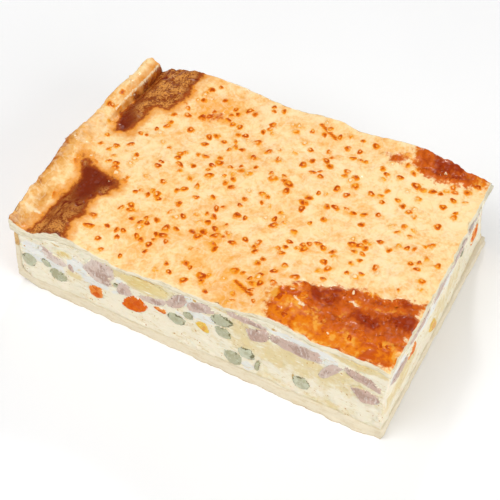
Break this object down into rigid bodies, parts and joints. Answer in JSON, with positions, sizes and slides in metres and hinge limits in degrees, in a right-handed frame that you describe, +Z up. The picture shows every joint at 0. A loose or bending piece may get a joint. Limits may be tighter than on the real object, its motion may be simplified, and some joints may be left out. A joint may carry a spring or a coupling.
{
  "type": "slice of bacon and egg pie",
  "caption": "Rectangular slab-pie slice: pastry base, blistered golden lid, one rim end, cut faces showing set egg, bacon, peas, carrot and corn.",
  "frame": {"origin": "middle of the flat underside of the base crust", "axes": "+X along the slice from the rim end to the cut end, +Y across to the back cut face, +Z up"},
  "size_m": [0.181, 0.1214, 0.0469],
  "materials": {
    "base_crust": "soft pale baked pastry, matt, browned at the foot",
    "egg_filling": "set egg, white to pale yellow, moist satin",
    "lid_crust": "glazed pastry, pale gold with red-brown browned patches and small browned blisters",
    "bacon": "cooked cured meat, dull pink, moist",
    "pea": "cooked pea, greyed green, satin skin",
    "carrot": "cooked diced carrot, bright orange, moist",
    "corn": "cooked corn kernel, yellow, satin skin",
    "yolk": "hard-baked egg yolk, pale yellow, chalky"
  },
  "bodies": {
    "root": {"base_crust": "base_crust", "egg_filling": "egg_filling", "lid_crust": "lid_crust", "bacon_front_01": "bacon", "bacon_front_02": "bacon", "bacon_front_03": "bacon", "bacon_front_04": "bacon", "bacon_front_05": "bacon", "bacon_front_06": "bacon", "bacon_front_07": "bacon", "bacon_front_08": "bacon", "bacon_front_09": "bacon", "bacon_front_10": "bacon", "bacon_front_11": "bacon", "bacon_front_12": "bacon", "bacon_front_13": "bacon", "pea_front_01": "pea", "pea_front_02": "pea", "pea_front_03": "pea", "pea_front_04": "pea", "pea_front_05": "pea", "pea_front_06": "pea", "pea_front_07": "pea", "pea_front_08": "pea", "pea_front_09": "pea", "pea_front_10": "pea", "pea_front_11": "pea", "pea_front_12": "pea", "carrot_front_01": "carrot", "carrot_front_02": "carrot", "carrot_front_03": "carrot", "corn_front_01": "corn", "yolk_front_01": "yolk", "yolk_front_02": "yolk", "bacon_end_01": "bacon", "bacon_end_02": "bacon", "bacon_end_03": "bacon", "bacon_end_04": "bacon", "bacon_end_05": "bacon", "pea_end_01": "pea", "carrot_end_01": "carrot", "carrot_end_02": "carrot", "corn_end_01": "corn", "bacon_back_01": "bacon", "bacon_back_02": "bacon", "bacon_back_03": "bacon", "bacon_back_04": "bacon", "bacon_back_05": "bacon", "bacon_back_06": "bacon", "pea_back_01": "pea", "pea_back_02": "pea", "pea_back_03": "pea", "pea_back_04": "pea", "carrot_back_01": "carrot", "carrot_back_02": "carrot", "corn_back_01": "corn"}
  },
  "joints": []
}
